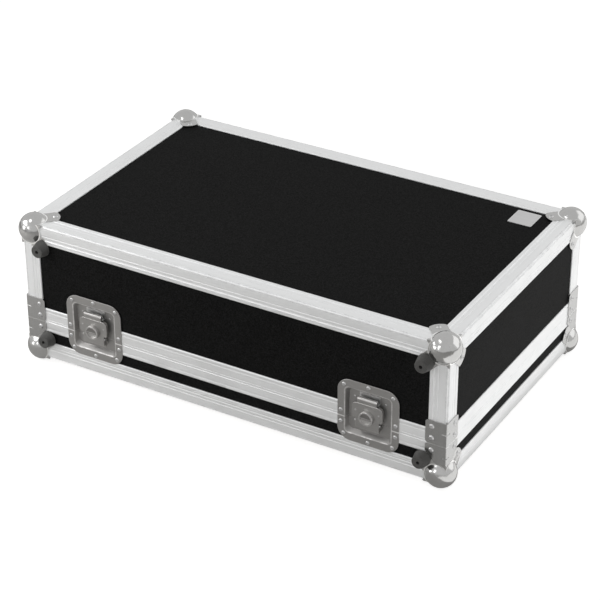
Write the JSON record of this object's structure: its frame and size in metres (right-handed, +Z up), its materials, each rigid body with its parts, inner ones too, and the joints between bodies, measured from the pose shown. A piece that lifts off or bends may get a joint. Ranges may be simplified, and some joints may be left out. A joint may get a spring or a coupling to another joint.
{
  "type": "lighting controller flight case",
  "caption": "Hinged flight case: black laminate panels, ribbed aluminium edging, ball corners, split corner braces, two recessed turn latches and rubber feet.",
  "frame": {"origin": "centre of the closed case's outline in plan, on the floor under the four lower ball corners", "axes": "+Z up, -Y towards the viewer of the latch side, +X to that viewer's right, along the case's length"},
  "size_m": [0.7624, 0.4854, 0.2594],
  "materials": {
    "laminate_panel": "plywood faced with black laminate, fine satin grain",
    "aluminium_edging": "ribbed anodised aluminium",
    "ball_corner": "polished plated steel pressing",
    "brace_plate": "zinc plated steel, satin",
    "rivet": "plated blind rivets",
    "rubber_foot": "dark grey moulded rubber",
    "foot_screw": "blackened screw",
    "foam": "dark grey soft foam",
    "grip_rubber": "black moulded grip",
    "tag_plate": "plain brushed plate",
    "latch_dish": "zinc plated pressed steel",
    "zinc_hardware": "zinc plated steel",
    "latch_moving": "zinc plated steel"
  },
  "bodies": {
    "base": {"panel_bottom": "laminate_panel", "panel_base_front": "laminate_panel", "panel_base_back": "laminate_panel", "panel_base_right": "laminate_panel", "panel_base_left": "laminate_panel", "edging_bottom": "aluminium_edging", "edging_base_posts": "aluminium_edging", "closure_base": "aluminium_edging", "braces_base": "brace_plate", "rivets_base": "rivet", "feet_base": "rubber_foot", "foot_screws_base": "foot_screw", "hinge_leaf_base": "zinc_hardware", "hinge_pins": "zinc_hardware", "foam_base": "foam", "corner_bottom_front_right": "ball_corner", "corner_bottom_front_left": "ball_corner", "corner_bottom_back_right": "ball_corner", "corner_bottom_back_left": "ball_corner", "dish_lower_right": "latch_dish", "dish_lower_left": "latch_dish", "latch_supports": "latch_dish", "guide_pins": "latch_moving"},
    "lid": {"panel_top": "laminate_panel", "panel_lid_front": "laminate_panel", "panel_lid_back": "laminate_panel", "panel_lid_right": "laminate_panel", "panel_lid_left": "laminate_panel", "edging_top": "aluminium_edging", "edging_lid_posts": "aluminium_edging", "closure_lid": "aluminium_edging", "braces_lid": "brace_plate", "rivets_lid": "rivet", "feet_lid": "rubber_foot", "foot_screws_lid": "foot_screw", "hinge_leaf_lid": "zinc_hardware", "handle_dish": "latch_dish", "tag_plate": "tag_plate", "foam_lid": "foam", "corner_top_front_right": "ball_corner", "corner_top_front_left": "ball_corner", "corner_top_back_right": "ball_corner", "corner_top_back_left": "ball_corner", "dish_upper_right": "latch_dish", "dish_upper_left": "latch_dish", "keepers": "latch_dish"},
    "handle": {"handle_bail": "zinc_hardware", "handle_grip": "grip_rubber"},
    "hook_right": {"hook_plate_right": "latch_moving"},
    "disc_right": {"turn_disc_right": "latch_moving", "turn_key_pin_right": "latch_moving"},
    "key_right": {"turn_key_right": "latch_moving"},
    "hook_left": {"hook_plate_left": "latch_moving"},
    "disc_left": {"turn_disc_left": "latch_moving", "turn_key_pin_left": "latch_moving"},
    "key_left": {"turn_key_left": "latch_moving"}
  },
  "joints": [
    {"name": "lid_hinge", "type": "hinge", "parent": "base", "child": "lid", "pos_m": [0, 0.2365, 0.0782], "axis": [-1, 0, 0], "range_deg": [0, 95]},
    {"name": "handle_swing", "type": "hinge", "parent": "lid", "child": "handle", "pos_m": [0, 0.225, 0.1822], "axis": [1, 0, 0], "range_deg": [0, 90], "stiffness_Nm_per_rad": 0.12, "springref_deg": -17.19},
    {"name": "hook_slide_right", "type": "slide", "parent": "base", "child": "hook_right", "axis": [0, -0.5, 0.866], "range_m": [0, 0.009]},
    {"name": "turn_right", "type": "hinge", "parent": "hook_right", "child": "disc_right", "pos_m": [0.2426, -0.2305, 0.0895], "axis": [0, -1, 0], "range_deg": [0, 180]},
    {"name": "key_fold_right", "type": "hinge", "parent": "disc_right", "child": "key_right", "pos_m": [0.2426, -0.2347, 0.0895], "axis": [1, 0, 0], "range_deg": [0, 90]},
    {"name": "hook_slide_left", "type": "slide", "parent": "base", "child": "hook_left", "axis": [0, -0.5, 0.866], "range_m": [0, 0.009]},
    {"name": "turn_left", "type": "hinge", "parent": "hook_left", "child": "disc_left", "pos_m": [-0.2426, -0.2305, 0.0895], "axis": [0, -1, 0], "range_deg": [0, 180]},
    {"name": "key_fold_left", "type": "hinge", "parent": "disc_left", "child": "key_left", "pos_m": [-0.2426, -0.2347, 0.0895], "axis": [1, 0, 0], "range_deg": [0, 90]}
  ],
  "couplings": [
    {"joint": "turn_right", "follows": "hook_slide_right", "rad_per_m": 349.06},
    {"joint": "turn_left", "follows": "hook_slide_left", "rad_per_m": 349.06}
  ]
}
